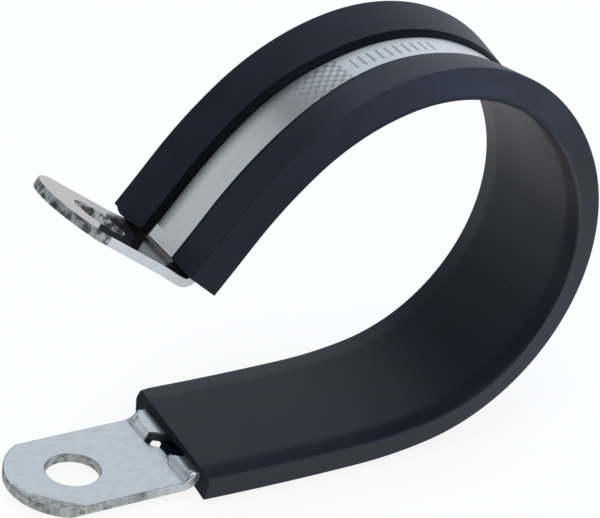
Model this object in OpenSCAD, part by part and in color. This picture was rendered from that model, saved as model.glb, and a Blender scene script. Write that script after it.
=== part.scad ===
// Rubber lined steel P clip, open as supplied.
// Lower tab lies flat on Z = 0, fixing hole on the Z axis, loop towards +X, loop axis along Y.

/* [Band] */
// strip width
band_w = 15; // [14.5:0.1:15.2]
// strip thickness
band_t = 1.2; // [1:0.1:1.3]
// fixing hole radius
hole_r = 3.4; // [3.2:0.1:3.6]
// radius of both tab ends about their holes
tab_end_r = 8.3; // [8.1:0.1:8.6]
// relief hole through the offset step
relief_r = 1.9; // [1.6:0.1:2.1]

/* [Tab bends] */
// slope of the offset step
step_deg = 32; // [28:1:36]
// inner bend radius of the offset step
step_r = 1; // [0.8:0.1:1.1]
// outward bend of the upper tab
tab_bend_deg = 88; // [84:1:90]
// inner bend radius of the upper tab
tab_bend_r = 0.75; // [0.6:0.05:0.9]
// end of the upper bend to the upper hole centre
upper_tab_len = 9.1; // [8.6:0.1:10]
// how far the upper bend starts inside the liner's end
bend_lead = 0.2; // [0:0.05:0.2]

/* [Liner] */
// hole centre to the start of the liner on the lower run
hole_to_liner = 13.67; // [13.4:0.01:14.4]
// rubber between band and pipe
liner_in = 1.1; // [0.9:0.1:1.2]
// clearance between band and rubber
slip = 0.05; // [0.05:0.01:0.1]
// rubber lip over the band
lip_t = 1.25; // [1.1:0.05:1.4]
// gap between the two lips
lip_gap = 7; // [6:0.5:8]
// rise of the flange edges above the lips
flange_rise = 0.75; // [0.5:0.05:0.9]
// liner width over the flanges
liner_w_out = 18.7; // [18.4:0.1:19.2]
// liner width on the pipe side
liner_w_in = 20.8; // [20:0.1:21.2]
// chamfer along the pipe side edges
edge_in = 1; // [0.6:0.1:1]
// chamfer along the flange edges
edge_out = 0.3; // [0.2:0.05:0.5]

/* [Loop] */
// radius of the round pipe seat
seat_r = 22.9; // [22.6:0.1:23.2]
// bend radius over the top of the loop
crown_r = 33.2; // [32:0.1:34.5]
// bend radius behind the crown
shoulder_r = 19.7; // [19:0.1:20.4]
// bend radius down towards the mouth
throat_r = 27.6; // [26.8:0.1:28.4]
// opened out bend at the mouth
mouth_r = 44.6; // [43:0.1:46]
// height of the pipe side where the liner starts
start_z = 3.42; // [3.35:0.01:3.6]
// straight end of the liner before the upper tab
end_len = 7.9; // [7.5:0.1:8.5]

/* [Hidden] */
$fn = 96;
steel = [0.74, 0.77, 0.80];
rubber = [0.10, 0.11, 0.13];
run_r = 184.375;
toe_r = 28.125;

// travel direction at each joint of the loop; simple triangles, so neighbours meet exactly
ways = [[0.99712, -0.07584], [0.99712, 0.07584], [0.96, 0.28], [-0.6, 0.8],
    [-0.8, 0.6], [-1, 0], [-0.8, -0.6], [-0.6, -0.8]];
radii = [run_r, toe_r, seat_r, crown_r, shoulder_r, throat_r, mouth_r];
last = len(radii);
// turns every joint direction into whole numbers
reach = 3125;
// coarse and fine rings in turn, so the facets of two neighbours never nearly coincide
facets = [360, 360, 110, 360, 110, 360, 110];

// distances out from the pipe side
band_near = liner_in + slip;
band_far = band_near + band_t;
slot_far = band_far + slip;
flange_far = slot_far + lip_t + flange_rise;

// outward normal, and a point moved d along and n out
function out(w) = [w[1], -w[0]];
function move(p, w, d, n) = p + d * w + n * out(w);
// bend centres and joint points on the pipe side
function centre(i) = i == 0 ? [hole_to_liner, start_z] - run_r * out(ways[0])
    : centre(i - 1) + (radii[i - 1] - radii[i]) * out(ways[i]);
loop_start = [hole_to_liner, start_z];
loop_end = centre(last - 1) + mouth_r * out(ways[last]);

// local X out from the pipe, local Y along the path, local Z across the band
module lay(p, w) translate([p[0], 0, p[1]]) rotate([90, 0, 0])
    rotate([0, 0, atan2(-w[0], w[1])]) children();
// one bend of the loop: a whole ring kept between two joint directions
module bend(i) translate([centre(i)[0], 0, centre(i)[1]]) rotate([90, 0, 0]) intersection() {
    rotate_extrude($fn = facets[i]) translate([radii[i], 0]) children();
    wedge = [out(ways[i]), out(ways[i + 1])] * reach;
    linear_extrude(2 * liner_w_in, center = true)
        polygon([[0, 0], wedge[0], wedge[0] + wedge[1], wedge[1]]);
}
module strip() translate([band_near, -band_w / 2]) square([band_t, band_w]);

// tab end: what lies outside the round end and the hole, along X from the hole centre
module tab_cut(h) linear_extrude(h, center = true) {
    difference() {
        translate([0, -band_w]) square([2 * tab_end_r, 2 * band_w]);
        circle(tab_end_r);
    }
    circle(hole_r);
}

// offset step, seen along Y: both bends, with the straight that makes up the height
step_top = band_t + step_r;
way0 = atan2(ways[0][1], ways[0][0]);
crest = move(loop_start, ways[0], 0, band_far + step_r);
climb = (crest[1] + (step_r + step_top) * cos(step_deg) - step_top) / sin(step_deg);
foot_x = crest[0] - (step_r + step_top) * sin(step_deg) - climb * cos(step_deg);
step_side = concat(
    [[-tab_end_r, band_t], [-tab_end_r, 0]],
    [for (a = [0:step_deg / 4:step_deg]) [foot_x + step_top * sin(a), step_top - step_top * cos(a)]],
    [for (a = [step_deg:(way0 - step_deg) / 4:way0]) crest + step_r * [-sin(a), cos(a)]],
    [for (a = [way0:(step_deg - way0) / 4:step_deg]) crest + step_top * [-sin(a), cos(a)]],
    [for (a = [step_deg:-step_deg / 4:0]) [foot_x + step_r * sin(a), step_top - step_r * cos(a)]]);
// the same outline in the loop's own first direction
step_local = [for (p = step_side) [(p - loop_start) * out(ways[0]), (p - loop_start) * ways[0]]];

// upper tab, seen along Y, in the loop's last direction
turn = [band_far + tab_bend_r, end_len - bend_lead];
tab_way = [sin(tab_bend_deg), cos(tab_bend_deg)];
tab_out = [-cos(tab_bend_deg), sin(tab_bend_deg)];
tab_reach = (upper_tab_len + tab_end_r + band_t) * tab_way;
upper_side = concat(
    [[band_far, 0], [band_near, 0]],
    [for (a = [0:tab_bend_deg / 8:tab_bend_deg]) turn + (tab_bend_r + band_t) * [-cos(a), sin(a)]],
    [turn + (tab_bend_r + band_t) * tab_out + tab_reach, turn + tab_bend_r * tab_out + tab_reach],
    [for (a = [tab_bend_deg:-tab_bend_deg / 8:0]) turn + tab_bend_r * [-cos(a), sin(a)]]);
upper_hole = turn + (tab_bend_r + band_t / 2) * tab_out + upper_tab_len * tab_way;

module steel_band() color(steel) {
    difference() {
        union() {
            lay(loop_start, ways[0]) linear_extrude(band_w, center = true) polygon(step_local);
            bend(0) strip();
        }
        mirror([1, 0, 0]) tab_cut(3 * band_t);
        translate([hole_to_liner, 0, -band_t]) cylinder(r = relief_r, h = start_z + 2 * band_t);
    }
    for (i = [1:last - 1]) bend(i) strip();
    lay(loop_end, ways[last]) difference() {
        linear_extrude(band_w, center = true) polygon(upper_side);
        translate([upper_hole[0], upper_hole[1], 0]) rotate([90, 0, 90 - tab_bend_deg]) tab_cut(3 * band_t);
    }
}

// one half of the C shaped section, from the pipe side round to the slot
function half(s) = [
    [0, s * (liner_w_in / 2 - edge_in)],
    [edge_in, s * liner_w_in / 2],
    [flange_far - edge_out, s * liner_w_out / 2],
    [flange_far, s * (liner_w_out / 2 - edge_out)],
    [slot_far + lip_t, s * lip_gap / 2],
    [slot_far, s * lip_gap / 2],
    [slot_far, s * (band_w / 2 + slip)],
    [liner_in, s * (band_w / 2 + slip)]];
module section() {
    low = half(-1);
    polygon(concat(half(1), [for (i = [len(low) - 1:-1:0]) low[i]]));
}

module rubber_liner() color(rubber) {
    for (i = [0:last - 1]) bend(i) section();
    lay(loop_end, ways[last]) rotate([-90, 0, 0]) linear_extrude(end_len) mirror([0, 1]) section();
}

steel_band();
rubber_liner();
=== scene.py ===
# P clip for a 38 mm pipe: a bent, zinc plated steel strip in a black rubber sleeve.
import bpy, math
from mathutils import Matrix, Vector
from mathutils.geometry import delaunay_2d_cdt


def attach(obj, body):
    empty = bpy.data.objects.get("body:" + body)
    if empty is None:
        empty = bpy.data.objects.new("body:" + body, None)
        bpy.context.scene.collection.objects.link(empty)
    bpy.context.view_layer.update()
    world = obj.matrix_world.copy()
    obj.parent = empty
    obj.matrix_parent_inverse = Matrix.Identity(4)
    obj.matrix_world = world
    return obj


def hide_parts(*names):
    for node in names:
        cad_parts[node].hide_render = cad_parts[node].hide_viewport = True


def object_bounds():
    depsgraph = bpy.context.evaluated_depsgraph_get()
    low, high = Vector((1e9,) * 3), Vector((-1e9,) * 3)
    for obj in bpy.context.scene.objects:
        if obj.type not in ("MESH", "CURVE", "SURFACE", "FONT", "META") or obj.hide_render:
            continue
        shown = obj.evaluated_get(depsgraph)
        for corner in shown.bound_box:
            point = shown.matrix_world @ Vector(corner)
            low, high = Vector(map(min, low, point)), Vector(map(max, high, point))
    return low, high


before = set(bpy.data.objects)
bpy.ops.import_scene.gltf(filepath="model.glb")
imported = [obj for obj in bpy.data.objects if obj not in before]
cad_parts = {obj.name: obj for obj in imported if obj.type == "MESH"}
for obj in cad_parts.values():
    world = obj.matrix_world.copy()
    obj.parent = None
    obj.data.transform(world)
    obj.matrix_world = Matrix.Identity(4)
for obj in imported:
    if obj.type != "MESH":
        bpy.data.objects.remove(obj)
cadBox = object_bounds()
mm = 0.001
layoutUnit = 100  # millimetres in one unit of the UV layout
probe = 0.02  # millimetres to each side where a slope is measured
snap = 1e-6  # points closer than this are one
scene = bpy.context.scene
scene.view_settings.view_transform = "Standard"


def rgb(r, g, b):
    # screen values 0-255 to the linear colour a shader wants
    return tuple((c / 255 / 12.92) if c < 11 else ((c / 255 + 0.055) / 1.055) ** 2.4 for c in (r, g, b)) + (1.0,)


class Wire:
    # a shader socket that can be used in sums
    def __init__(self, mat, socket):
        self.mat, self.socket = mat, socket

    def sum(self, kind, *values):
        return self.mat.node("ShaderNodeMath", dict(operation=kind), list(values))

    def __add__(self, o): return self.sum("ADD", self, o)
    def __radd__(self, o): return self.sum("ADD", o, self)
    def __sub__(self, o): return self.sum("SUBTRACT", self, o)
    def __rsub__(self, o): return self.sum("SUBTRACT", o, self)
    def __mul__(self, o): return self.sum("MULTIPLY", self, o)
    def __rmul__(self, o): return self.sum("MULTIPLY", o, self)
    def __lt__(self, o): return self.sum("LESS_THAN", self, o)
    def __gt__(self, o): return self.sum("GREATER_THAN", self, o)
    def __abs__(self): return self.sum("ABSOLUTE", self)
    def sine(self): return self.sum("SINE", self)
    def root(self): return self.sum("SQRT", self)


class Finish:
    # one material, or the world, filled node by node
    def __init__(self, name, tree=None):
        if tree is None:
            self.material = bpy.data.materials.new(name)
            self.material.use_nodes = True
            tree = self.material.node_tree
        self.tree = tree
        tree.nodes.clear()

    def node(self, kind, settings=None, inputs=None, out=0):
        made = self.tree.nodes.new(kind)
        for key, value in (settings or {}).items():
            setattr(made, key, value)
        pairs = enumerate(inputs) if isinstance(inputs, list) else (inputs or {}).items()
        for key, value in pairs:
            if isinstance(value, Wire):
                self.tree.links.new(value.socket, made.inputs[key])
            else:
                made.inputs[key].default_value = value
        return Wire(self, made.outputs[out]) if made.outputs else None

    def noise(self, where, scale, detail, rough):
        # scale is one number, or one for each direction
        if isinstance(scale, tuple):
            where, scale = self.node("ShaderNodeMapping", {}, {"Vector": where, "Scale": scale}), 1.0
        return self.node("ShaderNodeTexNoise", {}, {"Vector": where, "Scale": scale, "Detail": detail,
                                                    "Roughness": rough})

    def ramp(self, value, low, high, a=0.0, b=1.0):
        return self.node("ShaderNodeMapRange", dict(interpolation_type="SMOOTHSTEP"), [value, low, high, a, b])

    def mix(self, factor, a, b):
        return self.node("ShaderNodeMix", dict(data_type="RGBA"), {0: factor, 6: a, 7: b}, out=2)

    def layout(self):
        # place in the UV layout, and the millimetres along and across it
        place = self.node("ShaderNodeTexCoord", out=2)
        return place, *(layoutUnit * self.node("ShaderNodeSeparateXYZ", {}, [place], out=k) for k in (0, 1))

    def done(self, shader):
        self.node("ShaderNodeOutputMaterial", {}, {"Surface": shader})
        return self.material

    def surface(self, bump, sockets):
        # bump is its strength, its depth in metres and its height
        strength, depth, height = bump
        relief = self.node("ShaderNodeBump", {}, {"Strength": strength, "Distance": depth, "Height": height})
        return self.done(self.node("ShaderNodeBsdfPrincipled", {}, dict(sockets, Normal=relief)))


# shape of the clip, in millimetres
clip = dict(
    start=(13.75, 3.36), heading=-2.19,  # pipe side of the sleeve where it begins, above the lower tab
    bends=[(21.8, 433.5), (9.7, 53.9), (40.7, 22.74), (11.4, 26.84), (21.1, 22.16), (13.9, 28.54), (11.4, 54.5),
           (8.2, -330)],  # length and radius of each
    sleeveLength=137.4,
)
straight = 1e-6  # curvature of the straight runs before and after the bends


def layPath():
    # joints of the path: length so far, x, z, heading, curvature
    joints, s, (x, z), h = [], 0.0, clip["start"], math.radians(clip["heading"])
    for length, radius in clip["bends"]:
        joints.append((s, x, z, h, 1 / radius))
        x += radius * (math.sin(h + length / radius) - math.sin(h))
        z -= radius * (math.cos(h + length / radius) - math.cos(h))
        h += length / radius
        s += length
    joints.append((s, x, z, h, straight))
    return joints


joints = layPath()
loopAt = clip["start"][0]


def onPath(s, n=0.0):
    # point n out from the pipe side, and the heading there
    s0, x, z, h, k = [j for j in joints if j[0] <= max(s, 0)][-1]
    if s < 0:
        k = straight
    d = s - s0
    x += (math.sin(h + k * d) - math.sin(h)) / k
    z -= (math.cos(h + k * d) - math.cos(h)) / k
    h += k * d
    return x + n * math.sin(h), z - n * math.cos(h), h


def smooth(a, b, x):
    t = min(max((x - a) / (b - a), 0), 1)
    return t * t * (3 - 2 * t)


def blend(a, b, t):
    return a + (b - a) * t


def inside(point, loop):
    hit = False
    for a, b in zip(loop, loop[1:] + loop[:1]):
        if (a.y > point.y) != (b.y > point.y) and point.x < (b.x - a.x) * (point.y - a.y) / (b.y - a.y) + a.x:
            hit = not hit
    return hit


def around(loop):
    # numbers of the corners at the ends of each side of a closed loop
    return [(i, (i + 1) % len(loop)) for i in range(len(loop))]


def newPiece(name, verts, faces, normals, uvs, finishes, finishOf):
    # verts in millimetres; normals and uvs belong to the vertices
    mesh = bpy.data.meshes.new(name)
    mesh.from_pydata([Vector(v) * mm for v in verts], [], faces)
    layer = mesh.uv_layers.new(name="layout")
    for loop in mesh.loops:
        layer.data[loop.index].uv = uvs[loop.vertex_index]
    for polygon in mesh.polygons:
        polygon.use_smooth = True
        polygon.material_index = finishOf[polygon.index]
    for finish in finishes:
        mesh.materials.append(finish)
    mesh.normals_split_custom_set_from_vertices([Vector(n).normalized() for n in normals])
    piece = bpy.data.objects.new(name, mesh)
    scene.collection.objects.link(piece)
    return piece


# steel strip: u runs along it from the lower hole, y across it, and far is towards +y
strip = dict(
    width=15.1, thickness=1.2, overRubber=1.15,
    tabEnd=8.6, holes=(3.4, 3.55),  # hole of the lower tab, of the upper tab
    rollOver=0.17, burr=0.06,  # rounding of the two sheared edges
    # offset step: foot and top on the near and the far side, and how they lie between
    foot=(11.65, 11.2), top=(12.2, 12.05), farOver=(-2.2, 2.0),
    lateBy=1.4, lateAt=-0.15, lateOver=(1.2, 2.4),  # it begins later behind the relief hole
    topEdge=13.2, edgeNear=(6.5, 7.6), edgeFar=(5.8, 7.6),  # and is drawn out along both sheared edges
    firstRise=0.22, firstOver=(0, 0.45), restOver=(0.4, 1),
    relief=[(11.42, 2.3), (11.5, 1.75), (11.95, 1.05), (12.42, 0.55), (12.63, -0.25), (12.6, -1.2), (12.35, -2.2),
            (12.35, -2.8), (12.75, -3.1), (13.3, -3.4), (14.2, -3.2), (15.2, -2.2), (15.6, -0.4), (15.3, 0.9),
            (14.4, 1.45), (13.5, 1.68), (12.83, 2.03), (12.28, 2.32), (11.7, 2.5)],
    upperBendAt=151.0, upperBend=85.7, upperBendRadius=0.75, upperHoleAt=161.9,
    upperYaw=5.0, upperTwist=1.0, upperOver=3.5,  # the upper tab lies a little turned
    # mesh: runs along the strip and the step in each, columns across it, cuts of the round forms
    runEnds=(9.6, 14.2, 149.6, 157.0), runSteps=(1.2, 0.15, 1.0, 0.22, 1.2),
    columns=(-6.6, -5.4, -4.2, -3, -1.8, -0.6, 0.6, 1.8, 3, 4.2, 5.4, 6.6),
    endCuts=44, holeCuts=72, rimCuts=(4, 3), tabRings=(4.4, 5.6, 6.8, 7.6), tabRingCuts=40,
    rimFree=0.5, shoulderFree=0.3,  # no inner points this near the edge, or the tab's shoulder
    reliefAt=(13.5, -0.4), reliefReach=3.2, reliefMiddle=(13.6, -0.5), reliefFree=1.14,  # nor round the relief hole
)
stepTop = onPath(0, strip["overRubber"])
stripHalf = strip["width"] / 2
shoulder = math.sqrt(strip["tabEnd"] ** 2 - stripHalf ** 2)  # from the hole to where the round end begins


def stepHeight(u, y):
    # height of the strip's pipe side over the lower tab and up the offset step
    topX, topZ, topWay = stepTop
    far = smooth(*strip["farOver"], y)
    late = strip["lateBy"] * (1 - smooth(*strip["lateOver"], abs(y - strip["lateAt"])))
    foot = blend(*strip["foot"], far) + late
    top = blend(*strip["top"], far) + late
    edge = max(smooth(*strip["edgeFar"], y), smooth(*strip["edgeNear"], -y))
    t = (u - foot) / (blend(top, strip["topEdge"], edge) - foot)
    rise = blend(smooth(*strip["restOver"], t), smooth(*strip["firstOver"], t), strip["firstRise"])
    return blend(strip["thickness"], topZ + (topX - u) * math.tan(-topWay), rise)


def stripPoint(u, y, d):
    # d down from the strip's pipe side
    if u <= loopAt:
        u *= stepTop[0] / loopAt
        du = stepHeight(u + probe, y) - stepHeight(u - probe, y)
        dy = stepHeight(u, y + probe) - stepHeight(u, y - probe)
        up = Vector((-du / (2 * probe), -dy / (2 * probe), 1)).normalized()
        return Vector((u, y, stepHeight(u, y))) - d * up
    n = strip["overRubber"] + d
    radius, start = strip["upperBendRadius"], strip["upperBendAt"]
    if u <= start:
        x, z, h = onPath(u - loopAt, n)
        return Vector((x, y, z))
    outer = strip["overRubber"] + strip["thickness"] + radius
    full = math.radians(strip["upperBend"])
    length = full * (radius + strip["thickness"] / 2)
    past = max(u - start - length, 0)
    x, z, h = onPath(start - loopAt, outer)
    h -= min((u - start) / length, 1) * full
    yaw = math.radians(strip["upperYaw"]) * smooth(0, strip["upperOver"], past)
    past, y = past * math.cos(yaw) - y * math.sin(yaw), y * math.cos(yaw) + past * math.sin(yaw)
    twist = math.tan(math.radians(strip["upperTwist"])) * smooth(0, strip["upperOver"], past)
    reach = outer - n + twist * y
    return Vector((x - reach * math.sin(h) + past * math.cos(h), y, z + reach * math.cos(h) + past * math.sin(h)))


def smoothLoop(points, count):
    # closed Catmull-Rom curve through the points
    loop, k = [], len(points)
    for i in range(count):
        t = i * k / count
        a, f = int(t), t - int(t)
        p = [Vector(points[(a + j) % k]) for j in (-1, 0, 1, 2)]
        loop.append(0.5 * (2 * p[1] + (p[2] - p[0]) * f + (2 * p[0] - 5 * p[1] + 4 * p[2] - p[3]) * f ** 2
                           + (3 * p[1] - p[0] - 3 * p[2] + p[3]) * f ** 3))
    return loop


def stripStations():
    ends = (-shoulder,) + strip["runEnds"] + (strip["upperHoleAt"] + shoulder,)
    stations = []
    for a, b, step in zip(ends, ends[1:], strip["runSteps"]):
        k = round((b - a) / step)
        stations += [a + (b - a) * i / k for i in range(k)]
    return stations + [ends[-1]]


def stripLoops(stations):
    # flat outline of the strip, then its two fixing holes and the relief hole, which run the other way round
    end, far, cuts = strip["tabEnd"], strip["upperHoleAt"], strip["endCuts"]
    lean = math.asin(stripHalf / end)
    arc = [math.pi - lean + 2 * lean * i / cuts for i in range(1, cuts)]  # round end of the lower tab
    outline = [Vector((u, -stripHalf)) for u in stations]
    outline += [Vector((far + end * math.cos(a - math.pi), end * math.sin(a - math.pi))) for a in arc]
    outline += [Vector((u, stripHalf)) for u in reversed(stations)]
    outline += [Vector((end * math.cos(a), end * math.sin(a))) for a in arc]
    turns = [-2 * math.pi * i / strip["holeCuts"] for i in range(strip["holeCuts"])]
    holes = [[Vector((at + radius * math.cos(a), radius * math.sin(a))) for a in turns]
             for at, radius in zip((0, far), strip["holes"])]
    return [outline] + holes + [smoothLoop(strip["relief"], strip["holeCuts"])[::-1]]


def stripRim():
    # profile from the pipe side round the sheared edge to the back: offset, depth, turn of the normal
    roll, burr, thick = strip["rollOver"], strip["burr"], strip["thickness"]
    rollCuts, burrCuts = strip["rimCuts"]
    rim = []
    for i in range(rollCuts + 1):
        a = math.pi / 2 * i / rollCuts
        rim.append((-roll + roll * math.sin(a), roll - roll * math.cos(a), a))
    for i in range(burrCuts + 1):
        a = math.pi / 2 * (1 + i / burrCuts)
        rim.append((-burr + burr * math.sin(a), thick - burr - burr * math.cos(a), a))
    return rim


def stripGrid(stations, relief):
    # points inside the outline, so that the faces follow the bends
    far = strip["upperHoleAt"]
    middle = Vector(strip["reliefMiddle"])
    wider = [middle + strip["reliefFree"] * (q - middle) for q in relief]
    grid = []
    for u in stations:
        for y in strip["columns"]:
            p = Vector((u, y))
            near = min((p - Vector((at, 0))).length - radius for at, radius in zip((0, far), strip["holes"]))
            byRelief = (p - Vector(strip["reliefAt"])).length < strip["reliefReach"] and inside(p, wider)
            if near >= strip["rimFree"] and not byRelief:
                grid.append(p)
    for at, way in ((0, -1), (far, 1)):
        for radius in strip["tabRings"]:
            for i in range(strip["tabRingCuts"]):
                a = math.pi * (i + 0.5) / strip["tabRingCuts"] - math.pi / 2
                p = Vector((at + way * radius * math.cos(a), radius * math.sin(a)))
                if abs(p.x - at) > shoulder + strip["shoulderFree"] and abs(p.y) < stripHalf - strip["rimFree"]:
                    grid.append(p)
    return grid


def makeStrip(finishes):
    # finishes: pipe side, sheared edge, wall of the relief hole, outer side
    thick, roll = strip["thickness"], strip["rollOver"]
    stations = stripStations()
    loops, rim = stripLoops(stations), stripRim()
    verts, normals, uvs, faces, finishOf = [], [], [], [], []

    def add(p, depth, outward=None, turn=0.0):
        place = stripPoint(p.x, p.y, depth)
        up = (stripPoint(p.x, p.y, 0) - stripPoint(p.x, p.y, thick)).normalized()
        normal = up * math.cos(turn)
        if outward:
            q = p + outward * probe
            normal += math.sin(turn) * (stripPoint(q.x, q.y, depth) - place).normalized()
        verts.append(place)
        normals.append(normal)
        uvs.append((p.x / layoutUnit, p.y / layoutUnit))
        return len(verts) - 1

    rows = []  # rows[loop][profile step] -> vertex numbers
    flat = []  # the loops again, at the inner edge of the rim
    for loop in loops:
        sides = []
        for i, j in around(loop):
            along = (loop[j] - loop[i]).normalized() + (loop[i] - loop[i - 1]).normalized()
            sides.append(Vector((along.y, -along.x)).normalized())
        rows.append([[add(p + offset * side, depth, side, turn) for p, side in zip(loop, sides)]
                     for offset, depth, turn in rim])
        flat.append([p - roll * side for p, side in zip(loop, sides)])
        for a, b in zip(rows[-1], rows[-1][1:]):
            for i, j in around(loop):
                faces.append((a[i], b[i], b[j], a[j]))
                finishOf.append(2 if loop is loops[-1] else 1)

    # both faces of the sheet
    edges, rimVerts = [], []
    for loop, profile in zip(flat, rows):
        edges += [(len(rimVerts) + i, len(rimVerts) + j) for i, j in around(loop)]
        rimVerts += zip(profile[0], profile[-1])
    points = [p for loop in flat for p in loop] + stripGrid(stations, loops[-1])
    found, _, triangles, origin, _, _ = delaunay_2d_cdt(points, edges, [], 0, snap)
    sheet = []
    for p, sources in zip(found, origin):
        if sources and sources[0] < len(rimVerts):
            sheet.append(rimVerts[sources[0]])
        else:
            sheet.append((add(p, 0), add(p, thick, None, math.pi)))
    for tri in triangles:
        middle = sum((found[v] for v in tri), Vector((0, 0))) / 3
        if not inside(middle, flat[0]) or any(inside(middle, hole) for hole in flat[1:]):
            continue
        a, b, c = tri
        if (found[b] - found[a]).cross(found[c] - found[a]) < 0:
            b, c = c, b
        faces.append((sheet[a][0], sheet[b][0], sheet[c][0]))
        faces.append((sheet[c][1], sheet[b][1], sheet[a][1]))
        finishOf += [0, 3]
    return newPiece("bandStrip", verts, faces, normals, uvs, finishes, finishOf)


# rubber sleeve: its section has y across it, and n out from the pipe side
sleeve = dict(
    inner=1.1, slotTop=2.4, slotHalf=7.6, lipTop=2.95, lipHalf=3.85, lipEdge=2.95, lipFoot=2.5, flangeTop=3.95,
    outerHalf=9.42, pipeHalf=10.45, pipeRadius=0.25,
    edgeRadii=(0.15, 0.2, 0.04, 0.02, 0.1, 0.1),  # roundings from the flange's edge into the slot
    softWidth=2.4, softDrop=0.05, softDepth=1.5,  # fall of the pipe side along its edges
    softFrom=7.2, softTo=8.4, softTurn=12,  # where the rubber runs out past the strip, and its tilt
    lowerHalf=10.1, lowerOver=(-1, 1.5),  # narrower where it is cut off over the lower tab
    lipsIn=0.55, lipsInFrom=(118, 104),  # lips stand closer together from the crown back to the lower end
    pinchEdge=0.03, pinchHalf=0.9, pinchOver=(2.0, 9.0),  # lips drawn together below the relief hole
    tongue=1.1, tongueAt=-0.6, tongueHalf=(1.8, 2.7), tongueFrom=(1.5, 2.3),  # and pulled out a little there
    cutAt=(0.17, 0.1), cutSkew=(0.09, 0.038), cutTwist=1.2, cutOver=9.0,  # lower cut askew, more on the pipe side
    ragged=0.5, raggedOver=6, raggedFrom=(3.4, 4), raggedUp=(2.8, 3.5),  # far flange left long at the upper end
    raggedEdge=(9.5, 7.9), notch=0.5, notchAt=8.6, notchHalf=0.5,  # falling off to its edge, with a notch
    steps=[8, 11, 2, 1, 9, 3], slotCuts=30, pipeCuts=40, arcCuts=4, stations=260,  # mesh: cuts of sides and corners
    lipWalls=(2, 3, 9, 10),  # the sides that lie in the shade of the slot
    outsideFrom=0.5, outsideAt=40, endsAt=3,  # layout: where the outside begins, its place, place of the cut ends
)
sleeveCuts = sleeve["steps"] + [sleeve["slotCuts"]] + sleeve["steps"][::-1] + [sleeve["pipeCuts"]]


def roundedLoop(corners):
    # closed outline with an arc at each corner and each side cut in steps: (point, outward direction) pairs
    sides, arcCuts = around(corners), sleeve["arcCuts"]
    points = [Vector(c[:2]) for c in corners]
    ways = [(points[j] - points[i]).normalized() for i, j in sides]
    turns = [math.atan2(ways[i - 1].cross(ways[i]), ways[i - 1].dot(ways[i])) for i, j in sides]
    cuts = [corner[2] * math.tan(abs(turn) / 2) for corner, turn in zip(corners, turns)]
    loop = []
    for (i, after), steps in zip(sides, sleeveCuts):
        radius, sign = corners[i][2], math.copysign(1, turns[i])
        way = ways[i - 1]
        centre = points[i] - way * cuts[i] + sign * radius * Vector((-way.y, way.x))
        for j in range(arcCuts + 1):
            c, d = math.cos(turns[i] * j / arcCuts), math.sin(turns[i] * j / arcCuts)
            side = Vector((way.y * c + way.x * d, way.y * d - way.x * c))
            loop.append((centre + sign * radius * side, side))
        length = (points[after] - points[i]).length - cuts[i] - cuts[after]
        for j in range(1, steps):
            loop.append((points[i] + ways[i] * (cuts[i] + length * j / steps), Vector((ways[i].y, -ways[i].x))))
    return loop


def sleeveSection(s):
    pipeHalf = blend(sleeve["lowerHalf"], sleeve["pipeHalf"], smooth(*sleeve["lowerOver"], s))
    pinch = 1 - smooth(*sleeve["pinchOver"], s)
    closer = sleeve["lipsIn"] * smooth(*sleeve["lipsInFrom"], s)
    lipHalf = blend(sleeve["lipHalf"] - closer, sleeve["pinchHalf"], pinch)
    lipEdge = blend(sleeve["lipEdge"] - closer, sleeve["pinchEdge"], pinch)
    places = [(sleeve["outerHalf"], sleeve["flangeTop"]), (lipHalf, sleeve["lipTop"]), (lipEdge, sleeve["lipFoot"]),
              (lipEdge, sleeve["slotTop"]), (sleeve["slotHalf"], sleeve["slotTop"]),
              (sleeve["slotHalf"], sleeve["inner"])]
    corners = [(pipeHalf, 0, sleeve["pipeRadius"])]
    corners += [(y, n, radius) for (y, n), radius in zip(places, sleeve["edgeRadii"])]
    corners += [(-y, n, radius) for y, n, radius in reversed(corners)]
    width, depth = sleeve["softWidth"], sleeve["softDepth"]
    bent = []
    for p, side in roundedLoop(corners):
        # the pipe side falls away along its edges
        over = max((abs(p.x) - pipeHalf + width) / width, 0)
        fade = max(1 - p.y / depth, 0)
        drop = sleeve["softDrop"] * over ** 2
        across = math.copysign(2 * sleeve["softDrop"] * over / width * fade, p.x)
        deeper = 1 - (drop / depth if fade > 0 else 0)
        side = Vector((side.x - across * side.y / deeper, side.y / deeper)).normalized()
        if p.y < sleeve["pipeRadius"]:
            turn = math.radians(sleeve["softTurn"]) * smooth(sleeve["softFrom"], sleeve["softTo"], abs(p.x))
            side = side + Vector((math.copysign(math.tan(turn), p.x), 0)) * max(-side.y, 0)
        bent.append((Vector((p.x, p.y + drop * fade)), side))
    return bent


def skewed(s, p):
    # place along the path of a section point: the lower end is cut askew, the upper one is ragged
    deep = smooth(0, sleeve["cutTwist"], p.y)
    shift = blend(*sleeve["cutAt"], deep) + blend(*sleeve["cutSkew"], deep) * p.x
    drawn = 1 - smooth(*sleeve["tongueHalf"], abs(p.x - sleeve["tongueAt"]))
    shift -= sleeve["tongue"] * smooth(*sleeve["tongueFrom"], p.y) * drawn
    notch = sleeve["notch"] * (1 - smooth(0, sleeve["notchHalf"], abs(p.x - sleeve["notchAt"])))
    longer = sleeve["ragged"] * (smooth(*sleeve["raggedEdge"], p.x) - notch)
    longer *= smooth(*sleeve["raggedFrom"], p.x) * smooth(*sleeve["raggedUp"], p.y)
    atEnd = smooth(-sleeve["raggedOver"], 0, s - clip["sleeveLength"])
    return s + shift * (1 - smooth(0, sleeve["cutOver"], s)) + longer * atEnd


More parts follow.
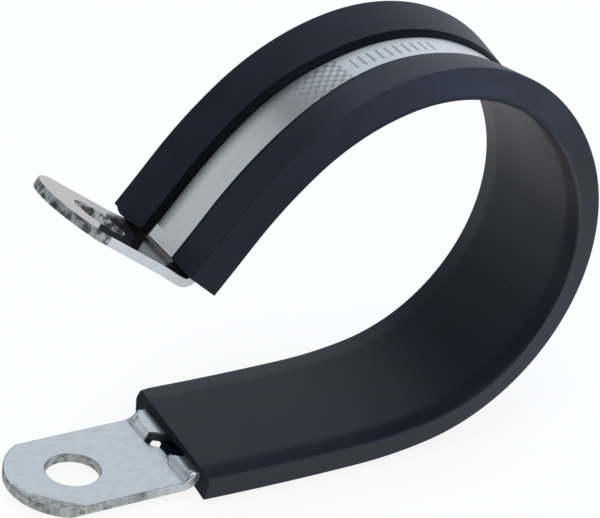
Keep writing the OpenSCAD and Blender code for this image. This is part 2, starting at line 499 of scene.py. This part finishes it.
def makeSleeve(finishes):
    # finishes: rubber, cut ends, walls of the lips
    length, count = clip["sleeveLength"], sleeve["stations"]
    verts, normals, uvs, faces, finishOf = [], [], [], [], []
    rings = []
    for s in (length * i / count for i in range(count + 1)):
        ring, girth, last = [], 0.0, None
        for p, side in sleeveSection(s):
            x, z, h = onPath(skewed(s, p))
            out = Vector((math.sin(h), 0, -math.cos(h)))
            girth += (p - last).length if last else 0
            last = p
            across = p.x if p.y < sleeve["outsideFrom"] else girth + sleeve["outsideAt"]
            ring.append(len(verts))
            verts.append(Vector((x, p.x, z)) + out * p.y)
            normals.append(Vector((0, side.x, 0)) + out * side.y)
            uvs.append((s / layoutUnit, across / layoutUnit))
        rings.append(ring)
    sideOf = [side for side, cuts in enumerate(sleeveCuts) for _ in range(cuts + sleeve["arcCuts"])]
    for a, b in zip(rings, rings[1:]):
        for i, j in around(a):
            faces.append((a[i], b[i], b[j], a[j]))
            finishOf.append(2 if sideOf[i] in sleeve["lipWalls"] else 0)

    # cut ends
    for ring, s, way in ((rings[0], 0, -1), (rings[-1], length, 1)):
        x, z, h = onPath(s)
        section = [p for p, side in sleeveSection(s)]
        first = len(verts)
        for number, p in zip(ring, section):
            verts.append(verts[number])
            normals.append(Vector((math.cos(h), 0, math.sin(h))) * way)
            uvs.append((sleeve["endsAt"] + p.x / layoutUnit, p.y / layoutUnit))
        found, _, triangles, origin, _, _ = delaunay_2d_cdt(section, around(section), [], 0, snap)
        for tri in triangles:
            middle = sum((found[v] for v in tri), Vector((0, 0))) / 3
            if inside(middle, section):
                a, b, c = (first + origin[v][0] for v in tri)
                if (found[tri[1]] - found[tri[0]]).cross(found[tri[2]] - found[tri[0]]) * way > 0:
                    b, c = c, b
                faces.append((a, b, c))
                finishOf.append(1)
    return newPiece("linerSleeve", verts, faces, normals, uvs, finishes, finishOf)


# zinc plating; places are millimetres along the strip and across it
metal = dict(
    plain=(rgb(204, 208, 210), rgb(214, 217, 218)), plainOver=(0.3, 0.7),
    metallic=0.9, rough=0.2, grainRough=0.1, bump=(0.15, 0.00004),
    broad=((60, 100, 1), 4, 0.6), grain=((250, 900, 1), 3, 0.6),  # noise: scale, detail, roughness
    # marks pressed into the band, no lettering: a hatched plate, and a plain row of strokes beside it
    markAt=(124.8, -0.5), markHalf=(3.2, 2.7), hatch=5, hatchOver=(0.1, 0.5),
    rowAt=(115.2, -0.1), rowHalf=(5.2, 1.1), strokes=5.6, strokesOver=0.55,
    plateShare=0.5, rowShare=0.8, markShade=0.6, markTone=rgb(96, 100, 104), markRough=0.25, markDepth=1.2,
    # brighter down the arm
    armFrom=(126, 132), armShare=0.6, arm=(rgb(216, 215, 210), rgb(234, 233, 228)), armOver=(0.3, 0.7),
    # painted shade and dark reflection beside the far lip, where it begins and ends and how it thickens
    lipShadeAcross=(0.6, 3.4), lipShadeAlong=(104, 124, 0.55, 0.97), lipShadeFrom=98, lipShadeTo=149.5, lipShade=rgb(10, 12, 14),
    # upper tab: smoother past the bend, in a warm tone darkened as a painted reflection of the rubber, with dark
    # specks of painted reflection as far as the hole's middle
    bendAt=151.3, reflectedTo=(160.9, 160.1), smoother=0.72,
    warmReflected=(rgb(154, 138, 134), rgb(144, 141, 134)), warmReflectedOver=(0.35, 0.65),
    speck=((400, 500, 1), 3, 0.7), speckOver=(0.66, 0.5, 0, 0.8), speckReflection=rgb(70, 70, 70), speckDepth=0.8,
    # scuffed patch along the round end of the lower tab
    fine=((160, 160, 1), 5, 0.7), patchLeft=(-8.2, -5.6), patchRight=(-0.2, -4), patchOver=(8.5, 8.9),
    patchFine=1.4, patchReach=1.1, patchShare=0.8, patchRough=0.25, patchDepth=2,
    scuffed=(rgb(132, 131, 124), rgb(196, 194, 186)), scuffedOver=(0.4, 0.6),
)


def within(along, across, at, half):
    return (abs(along - at[0]) < half[0]) * (abs(across - at[1]) < half[1])


def zincFace(name, outer):
    f = Finish(name)
    place, along, across = f.layout()
    broad, grain = f.noise(place, *metal["broad"]), f.noise(place, *metal["grain"])
    tone = f.mix(f.ramp(broad, *metal["plainOver"]), *metal["plain"])
    rough, height = metal["rough"] + metal["grainRough"] * grain, grain

    if outer:
        low, high = metal["hatchOver"]
        hatch = (metal["hatch"] * (along + across)).sine() > low
        hatch = hatch + ((metal["hatch"] * (along - across)).sine() > high)
        strokes = (metal["strokes"] * along).sine() > metal["strokesOver"]
        mark = within(along, across, metal["markAt"], metal["markHalf"]) * hatch * metal["plateShare"]
        mark = mark + within(along, across, metal["rowAt"], metal["rowHalf"]) * strokes * metal["rowShare"]
        tone = f.mix(metal["markShade"] * mark, tone, metal["markTone"])
        rough, height = rough + metal["markRough"] * mark, grain - metal["markDepth"] * mark

        arm = f.mix(f.ramp(grain, *metal["armOver"]), *metal["arm"])
        tone = f.mix(metal["armShare"] * f.ramp(along, *metal["armFrom"]), tone, arm)
        # painted shade and reflection of the far lip's dark wall on the band, darker towards the lip
        lipShade = f.ramp(across, *metal["lipShadeAcross"]) * f.ramp(along, *metal["lipShadeAlong"])
        tone = f.mix(lipShade * (along > metal["lipShadeFrom"]) * (along < metal["lipShadeTo"]), tone, metal["lipShade"])

        past = along > metal["bendAt"]
        # painted reflection of the black rubber: a darker warm tone past the bend, and dark specks up to the hole's
        # middle
        specks, reflectedZone = f.noise(place, *metal["speck"]), f.ramp(along, *metal["reflectedTo"])
        warmReflected = f.mix(f.ramp(broad, *metal["warmReflectedOver"]), *metal["warmReflected"])
        warmReflected = f.mix(reflectedZone * f.ramp(specks, *metal["speckOver"]), warmReflected, metal["speckReflection"])
        tone = f.mix(past, tone, warmReflected)
        rough = rough * (1 - metal["smoother"] * past)
        height = height + metal["speckDepth"] * past * reflectedZone * specks
    else:
        fine = f.noise(place, *metal["fine"])
        radius = (along * along + across * across).root()
        reach = f.ramp(along, *metal["patchLeft"]) * f.ramp(along, *metal["patchRight"])
        patch = f.ramp(radius + metal["patchFine"] * fine + metal["patchReach"] * reach, *metal["patchOver"])
        patch = patch * (across < 0) * (along < 0)
        scuffed = f.mix(f.ramp(fine, *metal["scuffedOver"]), *metal["scuffed"])
        tone = f.mix(metal["patchShare"] * patch, tone, scuffed)
        rough, height = rough + metal["patchRough"] * patch, grain + metal["patchDepth"] * patch * fine
    return f.surface((*metal["bump"], height), {
        "Base Color": tone, "Metallic": metal["metallic"], "Roughness": rough})


# bare steel of the cut edges and holes
sheared = dict(
    edge=(rgb(150, 152, 148), rgb(192, 195, 193)), edgeBright=rgb(222, 226, 228),
    # darker tones of the relief hole's wall: painted shade in the hole
    punchedShaded=(rgb(60, 62, 64), rgb(104, 107, 108)), punchedShadedBright=rgb(90, 92, 94),
    streak=((900, 900, 250), 3, 0.6), streakOver=(0.3, 0.7), blot=(700, 4, 0.7),
    tabTo=6, brightOver=(6, 12), brightShare=0.8, wornFrom=164.3,  # dull lower tab, bright loop, worn upper end
    tabOver=(0.48, 0.42), tabShare=0.6, tabTone=rgb(84, 86, 84),
    wornOver=(0.5, 0.46), wornShare=0.8, wornTone=rgb(64, 66, 72),
    holeFrom=158, holeHalf=3.6, holeOver=(0.56, 0.44), holeTone=rgb(74, 82, 76),  # wall of the upper hole
    metallic=0.85, rough=0.38, streakRough=0.1, bump=(0.3, 0.00006),
)


def shearedEdge(name, tones, bright):
    f = Finish(name)
    place, along, across = f.layout()
    solid = f.node("ShaderNodeTexCoord", out=3)
    streak, blot = f.noise(solid, *sheared["streak"]), f.noise(solid, *sheared["blot"])
    worn = along > sheared["wornFrom"]
    tone = f.mix(f.ramp(streak, *sheared["streakOver"]), *tones)
    loop = f.ramp(along, *sheared["brightOver"]) * (along < sheared["wornFrom"])
    tone = f.mix(loop * sheared["brightShare"], tone, bright)
    tone = f.mix(f.ramp(blot, *sheared["wornOver"]) * worn * sheared["wornShare"], tone, sheared["wornTone"])
    tab = f.ramp(blot, *sheared["tabOver"]) * (along < sheared["tabTo"])
    tone = f.mix(tab * sheared["tabShare"], tone, sheared["tabTone"])
    inHole = (along > sheared["holeFrom"]) * (abs(across) < sheared["holeHalf"])
    tone = f.mix(inHole * f.ramp(blot, *sheared["holeOver"]), tone, sheared["holeTone"])
    rough = sheared["rough"] + sheared["streakRough"] * streak
    return f.surface((*sheared["bump"], streak + blot), {
        "Base Color": tone, "Metallic": sheared["metallic"], "Roughness": rough})


# rubber; across the layout, the outside has its place beyond the pipe side's
rubber = dict(
    outside=(rgb(6, 9, 27), rgb(10, 14, 37)), outsideGloss=0.31,
    shaded=(rgb(9, 10, 12), rgb(14, 15, 18)), shadedGloss=0.04,
    cloud=((14, 30, 1), 4, 0.6), cloudOver=(0.3, 0.7), pores=((600, 900, 1), 2, 0.5),
    rough=0.44, cloudRough=0.08, bump=(0.1, 0.00003),
    outsideAt=20, crownAt=96, crownOver=(28, 4), crownAcross=(48, 72, 0.15, 1),  # paler bluish tone over the crown, partly rubber bloom and partly painted sheen
    crownShare=(0.55, 0.45), bloomSheenOver=(0.4, 0.65), crownSheenTone=rgb(34, 44, 60),
    mouthAt=74, mouthOver=(12, 2), mouthFloorReflection=rgb(58, 56, 58),  # and a pale grey on the pipe side towards the mouth, a painted reflection of the floor
    dust=((260, 300, 1), 1, 0.5), dustOver=(0.79, 0.82), dustShare=0.5, dustTone=rgb(150, 152, 156),
    cut=(rgb(18, 21, 26), rgb(32, 36, 42)), cutGrain=(1500, 3, 0.6), cutRough=0.7, cutGloss=0.2,
    cutBump=(0.3, 0.00008),
)


def blackRubber(name, tones, gloss):
    f = Finish(name)
    place, along, across = f.layout()
    cloud, pores = f.noise(place, *rubber["cloud"]), f.noise(place, *rubber["pores"])
    tone = f.mix(f.ramp(cloud, *rubber["cloudOver"]), *tones)
    outside = across > rubber["outsideAt"]
    least, more = rubber["crownShare"]
    # painted sheen mixed with patchy bloom over the upward-facing crown of the outside
    crown = f.ramp(abs(along - rubber["crownAt"]), *rubber["crownOver"]) * outside
    crown = crown * f.ramp(across, *rubber["crownAcross"]) * (least + more * f.ramp(cloud, *rubber["bloomSheenOver"]))
    tone = f.mix(crown, tone, rubber["crownSheenTone"])
    # painted reflection of the white floor on the pipe side
    mouth = f.ramp(abs(along - rubber["mouthAt"]), *rubber["mouthOver"]) * (1 - outside)
    tone = f.mix(mouth, tone, rubber["mouthFloorReflection"])
    dust = f.ramp(f.noise(place, *rubber["dust"]), *rubber["dustOver"])
    tone = f.mix(rubber["dustShare"] * dust, tone, rubber["dustTone"])
    return f.surface((*rubber["bump"], pores), {
        "Base Color": tone, "Roughness": rubber["rough"] + rubber["cloudRough"] * cloud, "Specular IOR Level": gloss})


def cutRubber(name):
    f = Finish(name)
    grain = f.noise(f.node("ShaderNodeTexCoord", out=3), *rubber["cutGrain"])
    return f.surface((*rubber["cutBump"], grain), {
        "Base Color": f.mix(grain, *rubber["cut"]), "Roughness": rubber["cutRough"],
        "Specular IOR Level": rubber["cutGloss"]})


bandStrip = makeStrip([
    zincFace("zincInner", False), shearedEdge("shearedEdge", sheared["edge"], sheared["edgeBright"]),
    # the relief hole's wall takes the darker tones of painted shade
    shearedEdge("punchedWallShaded", sheared["punchedShaded"], sheared["punchedShadedBright"]), zincFace("zincOuter", True)])
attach(bandStrip, "root")
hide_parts("steel_band")
print("steel strip made")

linerSleeve = makeSleeve([
    blackRubber("blackRubber", rubber["outside"], rubber["outsideGloss"]), cutRubber("cutRubber"),
    blackRubber("shadedRubber", rubber["shaded"], rubber["shadedGloss"])])
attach(linerSleeve, "root")
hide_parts("rubber_liner")
print("rubber sleeve made")


# floor, light and camera
studio = dict(
    floorSize=3.0, floorBelow=0.00002, floorTone=(0.85, 0.85, 0.85, 1),
    floorGlow=1.08, glowShare=0.8, glowInMetal=0.7,  # the floor shows white, and lightens what mirrors it
    roomTint=(0.20, 0.21, 0.23, 1),
    panels=[
        # direction, cosine where full, cosine where it fades out, colour
        ((0, 0, 1), 0.98, 0.86, (1.2, 1.3, 1.5)),
        ((0.5, 0.7, 0.5), 0.93, 0.75, (0.74, 0.81, 0.88)),
        ((-0.65, 0.65, 0.3), 0.96, 0.85, (0.55, 0.6, 0.65)),
        ((-0.2, -0.9, 0.9), 0.9, 0.7, (0.6, 0.62, 0.68)),
        ((0.8, 0.55, 0.3), 0.97, 0.88, (0.9, 0.95, 1.05)),
        ((0.75, -0.65, 0.12), 0.97, 0.85, (2.2, 2.5, 3.0)),
    ],
    lamp=dict(place=(-0.25, -0.15, 0.6), aim=(0.02, 0, 0.02), size=0.5, watts=1.0),
    view=dict(azimuth=-35.27, elevation=29.80, roll=7.98, distance=381.1, target=(29.25, 0, 25.30), lens=186.12,
              sensor=36, clip=(0.01, 20)),
)
white = (1, 1, 1, 1)


def seenBy(f, ray):
    return Wire(f, f.tree.nodes.new("ShaderNodeLightPath").outputs[ray])


def layFloor():
    size = studio["floorSize"] / 2
    z = cadBox[0][2] - studio["floorBelow"]
    mesh = bpy.data.meshes.new("studioFloor")
    mesh.from_pydata([(-size, -size, z), (size, -size, z), (size, size, z), (-size, size, z)], [], [(0, 1, 2, 3)])
    floor = bpy.data.objects.new("studioFloor", mesh)
    scene.collection.objects.link(floor)
    f = Finish("paleFloor")
    seen = seenBy(f, "Is Camera Ray") + studio["glowInMetal"] * seenBy(f, "Is Glossy Ray")
    diffuse = f.node("ShaderNodeBsdfDiffuse", {}, {"Color": studio["floorTone"]})
    glow = f.node("ShaderNodeEmission", {}, {"Color": white, "Strength": studio["floorGlow"]})
    mesh.materials.append(f.done(f.node("ShaderNodeMixShader", {}, [studio["glowShare"] * seen, diffuse, glow])))


def lightStudio():
    world = bpy.data.worlds.new("studioWorld")
    scene.world = world
    world.use_nodes = True
    f = Finish("studioWorld", world.node_tree)
    way = f.node("ShaderNodeTexCoord")
    light = studio["roomTint"]
    for aim, narrow, wide, tint in studio["panels"]:
        facing = f.node("ShaderNodeVectorMath", dict(operation="DOT_PRODUCT"), [way, Vector(aim).normalized()], out=1)
        light = f.mix(f.ramp(facing, wide, narrow), light, tint + (1,))
    colour = f.mix(seenBy(f, "Is Camera Ray"), light, white)
    sky = f.node("ShaderNodeBackground", {}, {"Color": colour, "Strength": 1.0})
    f.node("ShaderNodeOutputWorld", {}, {"Surface": sky})
    settings = studio["lamp"]
    lamp = bpy.data.lights.new("topLamp", "AREA")
    lamp.size, lamp.energy = settings["size"], settings["watts"]
    holder = bpy.data.objects.new("topLamp", lamp)
    place = Vector(settings["place"])
    holder.location = place
    holder.rotation_euler = (Vector(settings["aim"]) - place).to_track_quat("-Z", "Y").to_euler()
    scene.collection.objects.link(holder)


def placeCamera():
    view = studio["view"]
    azimuth, elevation, roll = (math.radians(view[k]) for k in ("azimuth", "elevation", "roll"))
    back = Vector((math.sin(azimuth) * math.cos(elevation), -math.cos(azimuth) * math.cos(elevation),
                   math.sin(elevation)))
    right = Vector((math.cos(azimuth), math.sin(azimuth), 0))
    up = back.cross(right)
    c, s = math.cos(roll), math.sin(roll)
    turned = Matrix((c * right + s * up, c * up - s * right, back)).transposed()
    place = Vector(view["target"]) + view["distance"] * back
    lens = bpy.data.cameras.new("viewCamera")
    lens.lens, lens.sensor_width = view["lens"], view["sensor"]
    lens.clip_start, lens.clip_end = view["clip"]
    holder = bpy.data.objects.new("viewCamera", lens)
    holder.matrix_world = Matrix.Translation(place * mm) @ turned.to_4x4()
    scene.collection.objects.link(holder)
    scene.camera = holder


layFloor()
lightStudio()
placeCamera()
print("floor, light and camera placed")
